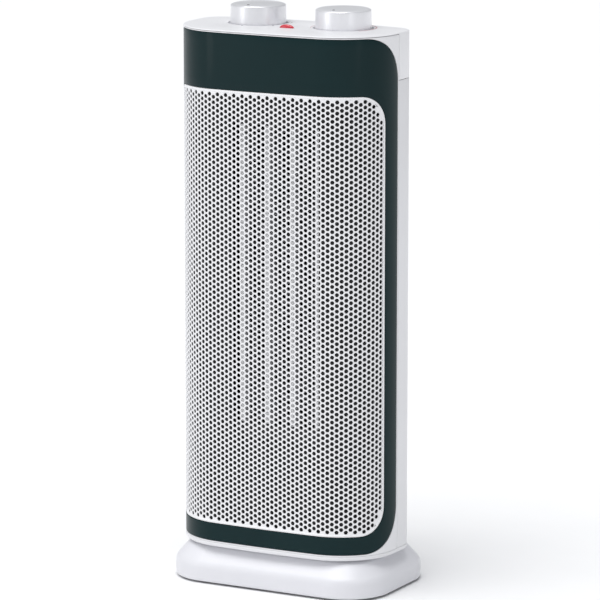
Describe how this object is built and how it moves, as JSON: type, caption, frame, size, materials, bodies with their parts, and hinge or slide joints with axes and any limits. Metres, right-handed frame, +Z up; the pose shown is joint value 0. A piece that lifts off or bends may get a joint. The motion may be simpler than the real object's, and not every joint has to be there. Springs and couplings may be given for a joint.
{
  "type": "fan convector heater",
  "caption": "Oscillating fan heater tower with a curved perforated front in a dark frame and two rotary knobs on top, on a low base.",
  "frame": {"origin": "middle of the base on the floor, under the feet", "axes": "+Z up, +X to the right side seen from the front, the grille faces -Y"},
  "size_m": [0.174, 0.113, 0.4276],
  "materials": {
    "white_plastic": "satin moulded plastic",
    "dark_panel": "high gloss, very dark blue-grey",
    "grille_plastic": "satin moulded plastic",
    "silver_knob": "satin silver plating",
    "red_lens": "glossy, slightly see-through",
    "black_plastic": "matt",
    "steel": "zinc plated",
    "aluminium": "mill finish",
    "ceramic": "matt, mineral filled",
    "rubber": "matt",
    "copper": "enamelled winding and sintered bearing"
  },
  "bodies": {
    "base": {"base_cover": "white_plastic", "base_plate": "steel", "cord_inlet_bush": "rubber", "foot_front_left": "rubber", "foot_front_right": "rubber", "foot_rear_left": "rubber", "foot_rear_right": "rubber", "base_screw_1": "steel", "base_screw_2": "steel", "base_screw_3": "steel", "base_screw_4": "steel", "swing_motor": "steel", "tip_switch_body": "black_plastic", "glide_washer": "black_plastic"},
    "crank": {"crank_disc": "white_plastic"},
    "tip_plunger_body": {"tip_plunger": "black_plastic"},
    "tower": {"tower_floor": "white_plastic", "retainer_arm": "steel", "arm_screw_1": "steel", "arm_screw_2": "steel", "rear_housing": "white_plastic", "front_frame": "white_plastic", "front_panel": "dark_panel", "front_grille": "grille_plastic", "top_cover": "white_plastic", "indicator_lens": "red_lens", "indicator_lamp": "red_lens", "selector_switch": "black_plastic", "thermostat": "black_plastic", "heater_holder_bottom": "ceramic", "heater_holder_top": "ceramic", "heater_bar_1": "aluminium", "heater_bar_2": "aluminium", "heater_bar_3": "aluminium", "heater_bar_4": "aluminium", "fin_pack_1": "aluminium", "fin_pack_2": "aluminium", "fin_pack_3": "aluminium", "thermal_cutout": "black_plastic", "heater_shroud": "black_plastic", "fan_duct": "black_plastic", "duct_top": "black_plastic", "motor_bracket": "steel", "lower_bearing": "copper", "upper_bearing": "copper", "fan_motor_stator": "copper"},
    "fan": {"fan_drum": "black_plastic", "fan_disc_lower": "black_plastic", "fan_disc_upper": "black_plastic", "fan_shaft": "steel", "motor_rotor": "steel"},
    "selector": {"selector_knob": "silver_knob", "selector_shaft": "steel"},
    "thermostat_control": {"thermostat_knob": "silver_knob", "thermostat_shaft": "steel"}
  },
  "joints": [
    {"name": "tower_swing", "type": "hinge", "parent": "base", "child": "tower", "pos_m": [0, -0.0085, 0.0283], "axis": [0, 0, 1], "range_deg": [-35, 35]},
    {"name": "crank_turn", "type": "hinge", "parent": "base", "child": "crank", "pos_m": [0, 0.0155, 0.017], "axis": [0, 0, 1], "range_deg": [-102, 102]},
    {"name": "tip_plunger_travel", "type": "slide", "parent": "base", "child": "tip_plunger_body", "axis": [0, 0, -1], "range_m": [0, 0.004], "stiffness_N_per_m": 20, "springref_m": 0.006},
    {"name": "fan_spin", "type": "hinge", "parent": "tower", "child": "fan", "pos_m": [0, 0.0035, 0.1], "axis": [0, 0, 1], "continuous": true},
    {"name": "selector_turn", "type": "hinge", "parent": "tower", "child": "selector", "pos_m": [-0.0353, 0.004, 0.4105], "axis": [0, 0, -1], "range_deg": [0, 180]},
    {"name": "thermostat_turn", "type": "hinge", "parent": "tower", "child": "thermostat_control", "pos_m": [0.0353, 0.004, 0.4105], "axis": [0, 0, -1], "range_deg": [0, 270]}
  ],
  "couplings": [
    {"joint": "crank_turn", "follows": "tower_swing", "ratio": 2.9}
  ]
}
